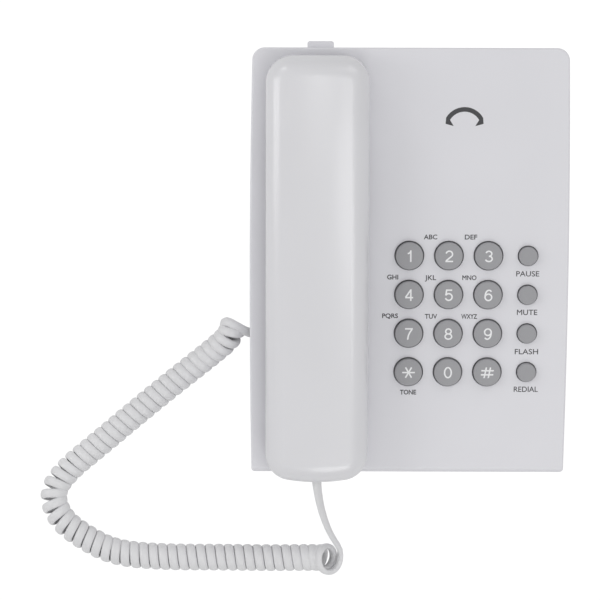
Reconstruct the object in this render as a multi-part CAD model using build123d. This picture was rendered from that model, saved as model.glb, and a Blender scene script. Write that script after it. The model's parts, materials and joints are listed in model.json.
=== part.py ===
from build123d import *
import math
import os

# A corded desk telephone: a wedge-shaped base with a sloping face, a handset in its cradle on the left,
# sixteen round keys on the right and a curly cord from the handset's front end to the base's left wall.
# Millimetres. +X is to the user's right, +Y is away from the user and +Z is up.
# The origin is under the middle of the base and handset together, on the desk.
# Many pieces are built in the face frame: u to the right, v up the slope, w out of the face,
# with its origin in the middle of the sloping face.

# ---------------------------------------------------------------- driving dimensions
BODY_W = 153.2  # at the widest, a little behind the middle
BODY_FRONT = 102.6  # from the face's middle to the front wall
BODY_REAR = 100.7  # and to the rear wall
FRONT_W = 151.6
REAR_W = 150.6
MID_H = 44.0
SLOPE = math.radians(9.09)
BODY_Y = 1.25  # the face's middle, so that the origin is under the middle of base and handset
WALL = 2.2
FOOT_H = 2.0
SEAM_Z = 9.0
REAR_CORNER = 6.0
EDGE = 0.9
FRONT_CORNER = 1.8
SEAM_EDGE = 0.3
FRONT_EDGE = 3.0

FRONT_Y = BODY_Y - BODY_FRONT
REAR_Y = BODY_Y + BODY_REAR
WIDEST_Y = BODY_Y + 15.0
REAR_H = MID_H + BODY_REAR * math.tan(SLOPE)
FACE = Plane(
    origin=(0, BODY_Y, MID_H), x_dir=(1, 0, 0), z_dir=(0, -math.sin(SLOPE), math.cos(SLOPE))
)

# Handset, in the face frame
HANDSET_U = -44.3
HANDSET_W = 49.0
HANDSET_FRONT = -105.8
HANDSET_REAR = 98.9
HANDSET_CORNER = 12.5
FRONT_BOW = 3.0
REAR_BOW = 0.8
GRIP_W = 4.5
SHELL_SPLIT_W = 11.5
BACK_MID_W = 26.0
BACK_EDGE = 10.0
CROWN_R = 101.0  # across the back
ARCH_R = 1724.0  # along the back
EAR_V = 71.0
EAR_SIZE = (42.0, 39.0)
EAR_W = -9.0
MOUTH_V = -79.0
MOUTH_SIZE = (41.0, 34.0)
MOUTH_W = -7.0
CUP_CORNER = 12.0
CUP_TAPER = 4.0
CUP_EDGE = 3.0
HANDSET_SCREWS = (40.0, -50.0)

# Cradle, in the face frame
WELL_GAP = 1.2
WELL_FLOOR_GAP = 1.0
TROUGH_V = (-54.0, 44.0)
TROUGH_HALF = 17.0
TROUGH_DEPTH = 3.5

# Keys, in the face frame
KEY_PITCH_U = 19.0
KEY_PITCH_V = 18.9
KEY_TOP_V = 2.4
KEY_R = 6.6
KEY_HOLE_R = 7.2
SMALL_KEY_R = 4.5
SMALL_KEY_HOLE_R = 5.0
KEY_TOP_W = 2.8
KEY_FLANGE_W = -2.4
KEY_STEM_W = -5.0
DIAL_KEYS = [["1", "2", "3"], ["4", "5", "6"], ["7", "8", "9"], ["star", "0", "hash"]]
FUNCTION_KEYS = ["pause", "mute", "flash", "redial"]
FUNCTION_COLUMN = 3

# Board, in the face frame
BOARD_TOP_W = -8.0
BOARD_T = 1.6
BOARD_LOW_W = BOARD_TOP_W - BOARD_T
WEB_T = 0.8
DOME_TOP_T = 1.3
PILL_T = 0.5  # leaves a gap to the board as long as a key's travel, 1.2
BOARD_HOLES = [(-10.5, 46.0), (66.0, 46.0), (-10.5, -67.0), (66.0, -67.0)]

# Hook lever, in the face frame
HOOK_U = HANDSET_U
HOOK_V = 62.0
HOOK_PIVOT = (-16.0, -18.0)
HOOK_ARM_T = 3.0
HOOK_PIN_R = 1.5
HOOK_ARM_HALF = 4.0
HOOK_SPRING_U = -6.5

# Modular jacks: cavity width, cavity height; the plug is a little smaller
HANDSET_CAVITY = (7.9, 6.8)
LINE_CAVITY = (9.9, 6.8)
JACK_WALL = 1.6
JACK_DEPTH = 13.0
PLUG_SIZE = (7.7, 6.5, 11.5)
PORT_WALL = -76.4  # the left wall at the handset cord's port
PORT_Y = BODY_Y - 35.6
PORT_Z = 14.6
LINE_X = 30.0
LINE_Z = 19.0
HANDSET_JACK_W = 11.5
HANDSET_JACK_V = -102.0
HANDSET_PLUG_V = -104.6

# Screws and feet
POSTS = [(-62.0, 86.0), (66.0, 88.0), (-62.0, -84.0), (66.0, -88.0)]
POST_R = 3.6
SCREW_R = 1.45
FEET = [(-60.0, 66.0), (60.0, 66.0), (-60.0, -66.0), (60.0, -66.0)]
FOOT_R = 6.5
KEYHOLE_SPACING = 83.0
KEYHOLE_Y = BODY_Y + 13.5
KEYHOLE_R = 4.0
KEYHOLE_SLOT_R = 2.1
KEYHOLE_SLOT = 7.0

# Wall hanger, in the face frame
HANGER_U = -42.9
HANGER_W = -5.0
HANGER_SIZE = 12.6
HANGER_T = 2.4
HANGER_END = 104.5
HANGER_STOP = 98.3  # just inside the rear wall

# Ringer and underside switches
RINGER_AT = (42.0, BODY_Y + 30.0)
RINGER_R = 16.0
SWITCHES = {"ringer": (48.0, BODY_Y - 72.0), "tone_pulse": (20.0, BODY_Y - 72.0)}
SWITCH_BODY = (13.0, 6.0, 5.0)
SWITCH_TRAVEL = 3.0
KNOB_SIZE = (3.6, 3.6)

# Curly cord: a flat lead of CORD_WIDTH wound to COIL_D outside
COIL_D = 13.0
LEAD_D = 3.4
COIL_ROUTE = [
    (-87.55, -37.785, 12.41),
    (-100.5, -45.8, 7.3),
    (-118.0, -58.7, 6.7),
    (-136.0, -73.5, 6.6),
    (-153.0, -87.9, 6.6),
    (-168.5, -100.5, 6.6),
    (-176.3, -112.5, 6.6),
    (-171.0, -126.5, 6.6),
    (-158.5, -136.0, 6.6),
    (-143.0, -144.1, 6.6),
    (-118.0, -145.9, 6.6),
    (-92.0, -145.5, 6.6),
    (-68.0, -146.1, 6.6),
    (-51.0, -145.9, 6.6),
    (-38.4, -145.7, 7.0),
    (-38.4, -145.7, 15.4),
]
BASE_LEAD_BEND = (-82.0, PORT_Y, PORT_Z)  # in line with the coil's first run
HANDSET_LEAD = [(-34.6, -145.7, 15.4), (-34.6, -145.7, 23.0), (-37.5, -133.0, 29.0)]


# ---------------------------------------------------------------- small helpers
def block(x, y, z):
    """A box from three (low, high) pairs."""
    size = [high - low for low, high in (x, y, z)]
    return Pos(sum(x) / 2, sum(y) / 2, sum(z) / 2) * Box(*size)


def rod(x, y, z, radius):
    """An upright cylinder, z being a (low, high) pair."""
    return Pos(x, y, sum(z) / 2) * Cylinder(radius, z[1] - z[0])


def tube(x, y, z, outer, inner):
    """An upright round tube."""
    return rod(x, y, z, outer) - rod(x, y, z, inner)


def soft_block(x, y, z, corner):
    """A box with rounded upright corners."""
    plan = RectangleRounded(x[1] - x[0], y[1] - y[0], corner)
    return extrude(Pos(sum(x) / 2, sum(y) / 2, z[0]) * plan, z[1] - z[0])


def around(centre, half):
    """The (low, high) pair that reaches half each side of centre."""
    return (centre - half, centre + half)


def on_face(shape):
    """Moves a shape from the face frame to the row frame."""
    return FACE.location * shape


def face_point(u, v, w):
    """A point of the face frame in the row frame."""
    return FACE.from_local_coords(Vector(u, v, w))


def key_u(column):
    return column * KEY_PITCH_U


def key_v(row):
    return KEY_TOP_V - row * KEY_PITCH_V


def corner_radii(points):
    """For each inner point, the largest arc that its two runs allow."""
    radii = []
    for before, here, after in zip(points, points[1:], points[2:]):
        run_in = Vector(here) - Vector(before)
        run_out = Vector(after) - Vector(here)
        half_turn = math.radians(run_in.get_angle(run_out)) / 2
        radii.append(0.45 * min(run_in.length, run_out.length) / math.tan(half_turn))
    return radii


def cable(points, diameter, name):
    """A tube along straight runs joined by tangent arcs; prints its radii and checks its volume."""
    radii = corner_radii(points)
    path = FilletPolyline(*points, radius=radii)
    start = Plane(origin=path @ 0, z_dir=path % 0)
    solid = sweep(start * Circle(diameter / 2), path=path)
    share = solid.volume / (math.pi * diameter**2 / 4 * path.length)
    print(name, "length", round(path.length, 1), "volume share", round(share, 4))
    print("  radii", [round(r, 1) for r in radii])
    return solid


# ---------------------------------------------------------------- base covers
def outline(inset):
    """The base's plan: straight front and rear, slightly bowed sides, round corners."""
    front = FRONT_Y + inset
    rear = REAR_Y - inset
    half = BODY_W / 2 - inset
    half_front = FRONT_W / 2 - inset
    half_rear = REAR_W / 2 - inset
    edge = (
        Line((-half_front, front), (half_front, front))
        + ThreePointArc((half_front, front), (half, WIDEST_Y), (half_rear, rear))
        + Line((half_rear, rear), (-half_rear, rear))
        + ThreePointArc((-half_rear, rear), (-half, WIDEST_Y), (-half_front, front))
    )
    plan = make_face(edge)
    corners = plan.vertices().sort_by(Axis.Y)
    plan = fillet(corners[:2], max(FRONT_CORNER - inset, 0.3))
    return fillet(plan.vertices().sort_by(Axis.Y)[-2:], REAR_CORNER - inset)


def wedge(inset, bottom, roll=0.0):
    """The base's wedge down to a level, walls and top pulled in by inset, its front edge rolled."""
    front = FRONT_Y - BODY_Y + inset
    rear = REAR_Y - BODY_Y - inset
    drop = inset / math.cos(SLOPE)
    front_top = (BODY_Y + front, MID_H + front * math.tan(SLOPE) - drop)
    profile = Polygon(
        (BODY_Y + front, bottom),
        (BODY_Y + rear, bottom),
        (BODY_Y + rear, MID_H + rear * math.tan(SLOPE) - drop),
        front_top,
        align=None,
    )
    if roll:
        profile = fillet(profile.vertices().sort_by_distance(front_top)[0], roll)
    column = extrude(Pos(0, 0, bottom) * outline(inset), REAR_H + 10)
    return column & extrude(Plane.YZ * profile, BODY_W, both=True)


def cover_outside():
    """The upper cover's outer form: a rolled front edge and small rounds along the rest of the rim."""
    solid = wedge(0, SEAM_Z, FRONT_EDGE)
    sloping_front = FRONT_Y + FRONT_EDGE + 0.5

    def is_rim(edge):
        at = edge.center()
        along_front = abs(at.X) < 1.0 and at.Y < sloping_front
        upright = edge.tangent_at(0.5).Z > 0.99 or edge.tangent_at(0.5).Z < -0.99
        return at.Z > SEAM_Z + 1 and not along_front and not upright

    rim = ShapeList(e for e in solid.edges() if is_rim(e))
    return fillet(rim, EDGE)


def well(size, centre_v, depth, grow):
    """The block of one cradle well, grown sideways and downwards."""
    half_u = size[0] / 2 + WELL_GAP + grow
    half_v = size[1] / 2 + WELL_GAP + grow
    floor = depth - WELL_FLOOR_GAP - grow
    return on_face(
        soft_block(
            around(HANDSET_U, half_u), around(centre_v, half_v), (floor, 0.0), CUP_CORNER + grow
        )
    )


def well_mouth(size, centre_v, depth):
    """The space of one well, open above the face, with a rounded floor."""
    space = soft_block(
        around(HANDSET_U, size[0] / 2 + WELL_GAP),
        around(centre_v, size[1] / 2 + WELL_GAP),
        (depth - WELL_FLOOR_GAP, 8.0),
        CUP_CORNER,
    )
    return on_face(fillet(space.faces().sort_by(Axis.Z)[0].edges(), 1.5))


def trough():
    """The finger scoop between the wells."""
    space = soft_block(
        around(HANDSET_U, TROUGH_HALF), TROUGH_V, (-TROUGH_DEPTH, 8.0), 10.0
    )
    return on_face(fillet(space.faces().sort_by(Axis.Z)[0].edges(), 3.0))


def trough_pan():
    """The material under the finger scoop."""
    low, high = TROUGH_V
    return on_face(
        soft_block(
            around(HANDSET_U, TROUGH_HALF + WALL),
            (low - WALL, high + WALL),
            (-TROUGH_DEPTH - WALL, -1.0),
            10.0 + WALL,
        )
    )


def key_holes():
    """Round holes for the keys, with a small lead-in at the face."""
    holes = []
    for row in range(4):
        for column in range(FUNCTION_COLUMN + 1):
            radius = SMALL_KEY_HOLE_R if column == FUNCTION_COLUMN else KEY_HOLE_R
            holes.append(rod(key_u(column), key_v(row), (-WALL - 1, 1.0), radius))
    return on_face(Part() + holes)


def hook_window():
    """The window in the ear well's floor for the hook button; it leans as the lever turns."""
    floor = EAR_W - WELL_FLOOR_GAP
    return on_face(
        block((HOOK_U - 5.2, HOOK_U + 6.8), around(HOOK_V, 4.2), (floor - 4, floor + 1))
    )


def hook_ears():
    """Two ears under the face that carry the hook lever's pins."""
    u, w = HOOK_PIVOT
    ears = []
    for side in (-1, 1):
        middle = HOOK_V + side * (HOOK_ARM_HALF + 2.0)
        ear = block(around(u, 3.0), around(middle, 1.4), (w, -1.0))
        foot = Pos(u, middle, w) * Rot(90, 0, 0) * Cylinder(3.0, 2.8)
        bore = Pos(u, middle, w) * Rot(90, 0, 0) * Cylinder(HOOK_PIN_R + 0.05, 4.0)
        ears.append(ear + foot - bore)
    seat = rod(HOOK_SPRING_U, HOOK_V, (-7.0, -1.0), 3.6) + rod(HOOK_SPRING_U, HOOK_V, (-9.0, -7.0), 1.8)
    return on_face(Part() + ears + seat)


def base_top_cover():
    cover = cover_outside() - wedge(WALL, SEAM_Z - 1)
    room = wedge(WALL / 2, SEAM_Z)
    posts = [rod(x, BODY_Y + y, (SEAM_Z + 0.6, REAR_H), POST_R) for x, y in POSTS]
    board_posts = [rod(u, v, (BOARD_TOP_W, -1.0), 3.2) for u, v in BOARD_HOLES]
    pans = [
        well(EAR_SIZE, EAR_V, EAR_W, WALL),
        well(MOUTH_SIZE, MOUTH_V, MOUTH_W, WALL),
        trough_pan(),
    ]
    inner = Part() + posts + pans + hook_ears() + on_face(Part() + board_posts)
    cover = cover + (inner & room)
    cover -= well_mouth(EAR_SIZE, EAR_V, EAR_W) + well_mouth(MOUTH_SIZE, MOUTH_V, MOUTH_W)
    cover -= trough()
    cover -= key_holes()
    cover -= hook_window()
    for x, y in POSTS:
        cover -= rod(x, BODY_Y + y, (SEAM_Z, SEAM_Z + 11), SCREW_R + 0.05)
    for u, v in BOARD_HOLES:
        cover -= on_face(rod(u, v, (BOARD_TOP_W - 1, -3.0), 1.05))
    cover -= line_port(1.5) + cord_port(1.5) + hanger_slots() + seam_groove()
    return cover


def bottom_plan(inset, z):
    """A slab of the base's plan outline."""
    return extrude(Pos(0, 0, z[0]) * outline(inset), z[1] - z[0])


def seam_groove():
    """The fine groove round the base where the two covers meet."""
    z = (SEAM_Z - SEAM_EDGE / 2, SEAM_Z + SEAM_EDGE / 2)
    return bottom_plan(-0.5, z) - bottom_plan(SEAM_EDGE, z)


def keyhole(y):
    """A wall-mount keyhole; its slot runs towards the rear, which is up on a wall."""
    z = (0.0, 12.0)
    slot = block(around(0, KEYHOLE_SLOT_R), (y, y + KEYHOLE_SLOT), z)
    return rod(0, y, z, KEYHOLE_R) + slot + rod(0, y + KEYHOLE_SLOT, z, KEYHOLE_SLOT_R)


def ringer_slots():
    """Sound slots under the ringer."""
    x, y = RINGER_AT
    slots = [block(around(x, 8.0), around(y + 5.0 * i, 0.9), (0, 6)) for i in (-2, -1, 0, 1, 2)]
    return Part() + slots


def base_bottom_cover():
    floor = FOOT_H + WALL
    tray = bottom_plan(0, (FOOT_H, SEAM_Z))
    tray = fillet(tray.faces().sort_by(Axis.Z)[0].edges(), 1.0)
    tray -= bottom_plan(WALL, (floor, SEAM_Z + 1))
    lip = bottom_plan(WALL + 0.2, (SEAM_Z - 1.5, SEAM_Z + 1.8)) - bottom_plan(
        WALL + 1.2, (SEAM_Z - 2, SEAM_Z + 3)
    )
    lip -= block((PORT_WALL, PORT_WALL + 5), around(PORT_Y, 2.5), (SEAM_Z, SEAM_Z + 3))
    root = bottom_plan(WALL - 0.4, (SEAM_Z - 3, SEAM_Z - 1.5)) - bottom_plan(
        WALL + 1.2, (SEAM_Z - 4, SEAM_Z)
    )
    pads = [rod(x, BODY_Y + y, (floor - 1, SEAM_Z + 0.6), POST_R + 1.0) for x, y in POSTS]
    rings = [tube(0, KEYHOLE_Y + s * KEYHOLE_SPACING / 2, (floor - 1, floor + 2), 11, 9.6) for s in (-1, 1)]
    seats = [
        block((-72.0, -59.0), around(PORT_Y, 5.0), (floor - 1, PORT_Z - 5.0)),
        block(around(LINE_X, 6.5), (BODY_Y + 84.2, BODY_Y + 97.0), (floor - 1, LINE_Z - 5.0)),
    ]
    for x, y in SWITCHES.values():
        for side in (-1, 1):
            seats.append(block(around(x + side * 5.5, 1.0), around(y, 3.0), (floor - 1, floor + 1)))
    tray = tray + lip + root + pads + rings + seats
    for x, y in POSTS:
        tray -= rod(x, BODY_Y + y, (0, 6.2), 3.3) + rod(x, BODY_Y + y, (6, SEAM_Z + 1), SCREW_R + 0.2)
    for x, y in FEET:
        tray -= rod(x, BODY_Y + y, (0, FOOT_H + 1.0), FOOT_R + 0.1)
    for s in (-1, 1):
        tray -= keyhole(KEYHOLE_Y + s * KEYHOLE_SPACING / 2)
    for x, y in SWITCHES.values():
        tray -= block(around(x, KNOB_SIZE[0] / 2 + SWITCH_TRAVEL / 2 + 0.4), around(y, 2.2), (0, floor + 0.5))
    tray -= ringer_slots() + line_port(1.5) + cord_port(1.5) + seam_groove()
    return tray


def rubber_feet():
    feet = []
    for x, y in FEET:
        foot = rod(x, BODY_Y + y, (0.0, FOOT_H + 1.0), FOOT_R)
        feet.append(fillet(foot.edges().sort_by(Axis.Z)[0], 0.8))
    return feet


def screw(head_r, head_h, shank_r, length):
    """A pan-head screw that points up, its head's underside at z 0, with a cross recess."""
    body = rod(0, 0, (-head_h, 0), head_r) + rod(0, 0, (0, length), shank_r)
    body = chamfer(body.edges().sort_by(Axis.Z)[0], head_h * 0.3)
    cross = block(around(0, head_r * 0.6), around(0, 0.3), (-head_h - 1, -head_h * 0.45))
    return body - cross - Rot(0, 0, 90) * cross


def base_screws():
    return [Pos(x, BODY_Y + y, 6.2) * screw(2.8, 2.2, SCREW_R, 12.0) for x, y in POSTS]


# ---------------------------------------------------------------- keys and board
def key_cap(radius, flange):
    """A round key about the w axis: crowned top, straight barrel, retaining flange and stem."""
    rim = KEY_TOP_W - 0.3
    stem = radius * 0.6
    flat = radius - 0.5
    ball = (flat**2 + 0.3**2) / 0.6
    middle = KEY_TOP_W - ball + math.sqrt(ball**2 - (flat / 2) ** 2)
    barrel = Polyline(
        (0, KEY_STEM_W),
        (stem, KEY_STEM_W),
        (stem, KEY_FLANGE_W - 1.2),
        (flange, KEY_FLANGE_W - 1.2),
        (flange, KEY_FLANGE_W),
        (radius, KEY_FLANGE_W),
        (radius, rim - 0.5),
    )
    shoulder = ThreePointArc((radius, rim - 0.5), (radius - 0.15, rim - 0.15), (flat, rim))
    crown = ThreePointArc((flat, rim), (flat / 2, middle), (0, KEY_TOP_W))
    axis = Line((0, KEY_TOP_W), (0, KEY_STEM_W))
    half = make_face(Plane.XZ * (barrel + shoulder + crown + axis))
    return revolve(half, Axis.Z)


def keys():
    """Every key by node name."""
    made = {}
    for row, names in enumerate(DIAL_KEYS):
        for column, name in enumerate(names):
            place = Pos(key_u(column), key_v(row), 0)
            made[f"key_{name}"] = on_face(place * key_cap(KEY_R, KEY_R + 1.4))
    for row, name in enumerate(FUNCTION_KEYS):
        place = Pos(key_u(FUNCTION_COLUMN), key_v(row), 0)
        made[f"key_{name}"] = on_face(place * key_cap(SMALL_KEY_R, SMALL_KEY_R + 1.3))
    return made


def key_places():
    """(u, v, dome radius) of every key."""
    return [
        (key_u(column), key_v(row), 3.2 if column == FUNCTION_COLUMN else 4.2)
        for row in range(4)
        for column in range(FUNCTION_COLUMN + 1)
    ]


def keypad_membrane():
    """A rubber web with one hollow dome under each key."""
    web_top = BOARD_TOP_W + WEB_T
    sheet = soft_block((-8.5, 64.0), (key_v(3) - 7.5, key_v(0) + 7.5), (BOARD_TOP_W, web_top), 3.0)
    domes, hollows = [], []
    for u, v, radius in key_places():
        height = KEY_STEM_W - web_top
        outside = Pos(u, v, web_top + height / 2) * Cone(radius + 1.2, radius - 0.8, height)
        domes.append(outside)
        hollow = height + WEB_T - DOME_TOP_T
        hollows.append(Pos(u, v, BOARD_TOP_W + hollow / 2) * Cone(radius + 0.3, radius - 1.3, hollow))
    return on_face(sheet + domes - hollows)


def carbon_pills():
    """The contact disc under the top of each dome."""
    top = KEY_STEM_W - DOME_TOP_T
    return [on_face(rod(u, v, (top - PILL_T, top), radius - 1.9)) for u, v, radius in key_places()]


def main_board():
    """The circuit board under the keys, with a tongue beside the hook lever."""
    plate = block((-14.0, 70.0), (-71.0, 50.0), (BOARD_LOW_W, BOARD_TOP_W))
    plate += block((0.0, 70.0), (49.0, 70.0), (BOARD_LOW_W, BOARD_TOP_W))
    for u, v in BOARD_HOLES:
        plate -= rod(u, v, (BOARD_LOW_W - 1, 0), 1.4)
    return on_face(plate)


def board_screws():
    return [
        on_face(Pos(u, v, BOARD_LOW_W) * screw(2.2, 1.6, 1.0, 6.2)) for u, v in BOARD_HOLES
    ]


def hanging(u, v, size):
    """A block that hangs under the board."""
    return on_face(
        block(around(u, size[0] / 2), around(v, size[1] / 2), (BOARD_LOW_W - size[2], BOARD_LOW_W))
    )


def dialler_chip():
    chip = hanging(22.0, 24.0, (22.0, 6.6, 3.4))
    pins = [
        hanging(22.0 - 10.2 + 2.54 * i, 24.0 + side * 3.7, (0.6, 0.8, 2.6))
        for i in range(9)
        for side in (-1, 1)
    ]
    return chip + pins


def line_transformer():
    core = hanging(52.0, 30.0, (15.0, 13.0, 10.0))
    coil = on_face(block(around(52.0, 5.0), around(30.0, 8.5), (BOARD_LOW_W - 8.5, BOARD_LOW_W - 1.5)))
    return core + coil


def capacitors():
    spots = [
        (38.0, 10.0, 3.2, 11.0),
        (46.0, 10.0, 2.5, 11.0),
        (4.0, 38.0, 4.0, 12.0),
        (12.0, 40.0, 2.5, 10.0),
    ]
    return [
        on_face(rod(u, v, (BOARD_LOW_W - height, BOARD_LOW_W), radius)) for u, v, radius, height in spots
    ]


def rectifier():
    body = block((26.0, 34.0), (40.8, 47.2), (BOARD_LOW_W - 4.0, BOARD_LOW_W))
    return on_face(chamfer(body.edges().filter_by(Axis.Z), 0.8))


def resistors():
    made = []
    for i in range(7):
        body = Pos(-4.0 + 7.0 * i, -2.0, BOARD_LOW_W - 1.3) * Rot(90, 0, 0) * Cylinder(1.1, 6.0)
        made.append(on_face(body))
    return made


# ---------------------------------------------------------------- hook lever
def hook_lever():
    """The button in the ear well, its arm and its two pins."""
    u, w = HOOK_PIVOT
    top = w + HOOK_ARM_T / 2
    arm = block((HOOK_U - 4.5, 6.0), around(HOOK_V, HOOK_ARM_HALF), (w - HOOK_ARM_T / 2, top))
    button = block(around(HOOK_U, 4.5), around(HOOK_V, 3.5), (top - 0.5, EAR_W - 0.3))
    button = fillet(button.edges().filter_by(Axis.Z), 1.2)
    button = fillet(button.faces().sort_by(Axis.Z)[-1].edges(), 0.8)
    hub = Pos(u, HOOK_V, w) * Rot(90, 0, 0) * Cylinder(2.6, 2 * HOOK_ARM_HALF)
    pin = Pos(u, HOOK_V, w) * Rot(90, 0, 0) * Cylinder(HOOK_PIN_R, 2 * HOOK_ARM_HALF + 7.0)
    rib = block((HOOK_U - 3.5, 4.0), around(HOOK_V, 0.8), (w - HOOK_ARM_T / 2 - 2.0, w))
    return on_face(arm + button + hub + pin + rib)


def hook_spring():
    """The compression spring between the cover's seat and the lever's right arm."""
    wire = 0.35
    low = HOOK_PIVOT[1] + HOOK_ARM_T / 2 + wire + 0.02
    high = -7.0 - wire - 0.02
    helix = Pos(HOOK_SPRING_U, HOOK_V, low) * Helix(pitch=(high - low) / 5, height=high - low, radius=2.6)
    start = Plane(origin=helix @ 0, z_dir=helix % 0)
    return on_face(sweep(start * Circle(wire), path=helix))


def hook_switch():
    """The switch on the board that the lever's right end works, with its plunger."""
    body = block((0.5, 13.5), around(HOOK_V, 3.2), (BOARD_LOW_W - 5.8, BOARD_LOW_W))
    reach = HOOK_PIVOT[1] + HOOK_ARM_T / 2
    plunger = block(around(3.5, 1.2), around(HOOK_V, 1.5), (reach, BOARD_LOW_W - 5.8))
    return on_face(body + plunger)


# ---------------------------------------------------------------- jacks and plugs
def jack(cavity, outside_h):
    """A modular jack with its mouth at y 0, facing -Y, its cavity centred on the Y axis."""
    width, height = cavity
    shell = block(around(0, width / 2 + JACK_WALL), (0, JACK_DEPTH), around(0, outside_h / 2))
    shell -= block(around(0, width / 2), (-1, JACK_DEPTH - 1.2), around(0, height / 2))
    return shell - block(around(0, 1.7), (-1, 7.0), (-height / 2 - 1.0, 0))


def plug():
    """A modular plug with its cord end at y 0, pointing +Y."""
    width, height, length = PLUG_SIZE
    body = block(around(0, width / 2), (0, length), around(0, height / 2))
    body = chamfer(body.faces().sort_by(Axis.Y)[-1].edges(), 0.4)
    latch = block(around(0, 1.5), (1.4, 8.0), (-height / 2 - 0.8, -height / 2 + 0.1))
    grooves = [
        block(around(-2.55 + 1.7 * i, 0.3), (length - 4.0, length + 1), (height / 2 - 1.6, height / 2 + 1))
        for i in range(4)
    ]
    return body + latch - grooves


def facing_left(shape):
    """Turns a jack's -Y mouth to -X."""
    return Rot(0, 0, -90) * shape


def line_port(past):
    """The window for the line jack in the rear wall."""
    return block(
        around(LINE_X, LINE_CAVITY[0] / 2),
        (REAR_Y - WALL - 0.5, REAR_Y + past),
        around(LINE_Z, LINE_CAVITY[1] / 2),
    )


def cord_port(past):
    """The window for the handset cord's plug in the left wall."""
    return block(
        (PORT_WALL - past, PORT_WALL + WALL + 1.4),
        around(PORT_Y, HANDSET_CAVITY[0] / 2),
        around(PORT_Z, HANDSET_CAVITY[1] / 2),
    )


def line_jack():
    rear = REAR_Y - WALL - 0.1
    return Pos(LINE_X, rear, LINE_Z) * Rot(0, 0, 180) * jack(LINE_CAVITY, 10.0)


def line_contacts():
    """Four spring wires on the line jack's ceiling."""
    rear = REAR_Y - WALL - 0.1
    top = LINE_Z + LINE_CAVITY[1] / 2
    return [
        block(around(LINE_X - 1.9 + 1.27 * i, 0.25), (rear - 11.0, rear - 3.0), (top - 0.4, top))
        for i in range(4)
    ]


def port_jack():
    """The jack behind the left wall that the handset cord plugs into."""
    return Pos(PORT_WALL + WALL + 1.3, PORT_Y, PORT_Z) * facing_left(jack(HANDSET_CAVITY, 10.0))


def base_plug():
    return Pos(PORT_WALL + 1.2, PORT_Y, PORT_Z) * facing_left(plug())


# ---------------------------------------------------------------- ringer and underside switches
def ringer_chamber():
    """A round cup, open downwards over the sound slots."""
    x, y = RINGER_AT
    floor = FOOT_H + WALL
    cup = rod(x, y, (floor, floor + 7.0), RINGER_R) - rod(x, y, (floor - 1, floor + 4.0), RINGER_R - 1.6)
    return cup - rod(x, y, (floor + 3.0, floor + 5.8), RINGER_R - 3.0)


def ringer_disc():
    x, y = RINGER_AT
    return rod(x, y, (FOOT_H + WALL + 3.4, FOOT_H + WALL + 3.9), RINGER_R - 1.7)


def switch_body(x, y):
    """A slide switch above the bottom cover, its slot facing down."""
    low = FOOT_H + WALL + 1.0
    body = block(around(x, SWITCH_BODY[0] / 2), around(y, SWITCH_BODY[1] / 2), (low, low + SWITCH_BODY[2]))
    half = KNOB_SIZE[0] / 2 + SWITCH_TRAVEL / 2 + 0.2
    return body - block(around(x, half), around(y, KNOB_SIZE[1] / 2 + 0.1), (low - 1, low + 2.2))


def switch_knob(x, y):
    """The knob of a slide switch at the left end of its travel, recessed in the bottom cover."""
    left = x - SWITCH_TRAVEL / 2
    top = FOOT_H + WALL + 3.0
    knob = block(around(left, KNOB_SIZE[0] / 2), around(y, KNOB_SIZE[1] / 2), (FOOT_H + 0.3, top))
    for i in (-1, 0, 1):
        knob -= block(around(left + 0.9 * i, 0.2), around(y, 3), (0, FOOT_H + 0.7))
    return knob


# ---------------------------------------------------------------- wall hanger
def hanger_slots():
    """Slots for the hanger in the ear well's rear wall and in the cover's rear wall."""
    back = EAR_V + EAR_SIZE[1] / 2
    return on_face(
        block(
            around(HANGER_U, HANGER_SIZE / 2 + 0.2),
            (back - 2, HANGER_END + 2),
            around(HANGER_W, HANGER_T / 2 + 0.2),
        )
    )


def wall_hanger():
    """A small slide: its tab stands out of the rear wall, and pushed in, its tooth holds the handset."""
    well_back = EAR_V + EAR_SIZE[1] / 2 + WELL_GAP
    strip = block(
        around(HANGER_U, HANGER_SIZE / 2), (well_back + 0.1, HANGER_END), around(HANGER_W, HANGER_T / 2)
    )
    strip = fillet(strip.edges().filter_by(Axis.Z).group_by(Axis.Y)[-1], 1.2)
    stop_v = (HANGER_STOP - 0.6, HANGER_STOP)
    stop = block(around(HANGER_U, HANGER_SIZE / 2 + 1.9), stop_v, around(HANGER_W, 2.0))
    return on_face(strip + stop)


# ---------------------------------------------------------------- handset
def handset_plan(inset):
    """The handset's outline: straight sides, bowed ends, round corners."""
    half = HANDSET_W / 2 - inset
    front = HANDSET_FRONT + inset
    rear = HANDSET_REAR - inset
    edge = (
        ThreePointArc((-half, front + FRONT_BOW), (0, front), (half, front + FRONT_BOW))
        + Line((half, front + FRONT_BOW), (half, rear - REAR_BOW))
        + ThreePointArc((half, rear - REAR_BOW), (0, rear), (-half, rear - REAR_BOW))
        + Line((-half, rear - REAR_BOW), (-half, front + FRONT_BOW))
    )
    plan = make_face(edge)
    return fillet(plan.vertices(), HANDSET_CORNER - inset)


def back_outside():
    """The space under the handset's back: arched along it and crowned across it."""
    turn = math.degrees(115 / ARCH_R)
    bend_w = BACK_MID_W - ARCH_R
    crown = CenterArc((0, BACK_MID_W - CROWN_R), CROWN_R, 70, 40)
    section = crown + Polyline(crown @ 1, (-36, -10), (36, -10), crown @ 0)
    start = Pos(0, 0, bend_w) * Rot(turn, 0, 0) * Pos(0, 0, -bend_w)
    return revolve(start * make_face(Plane.XZ * section), Axis((0, 0, bend_w), (1, 0, 0)), -2 * turn)


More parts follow.
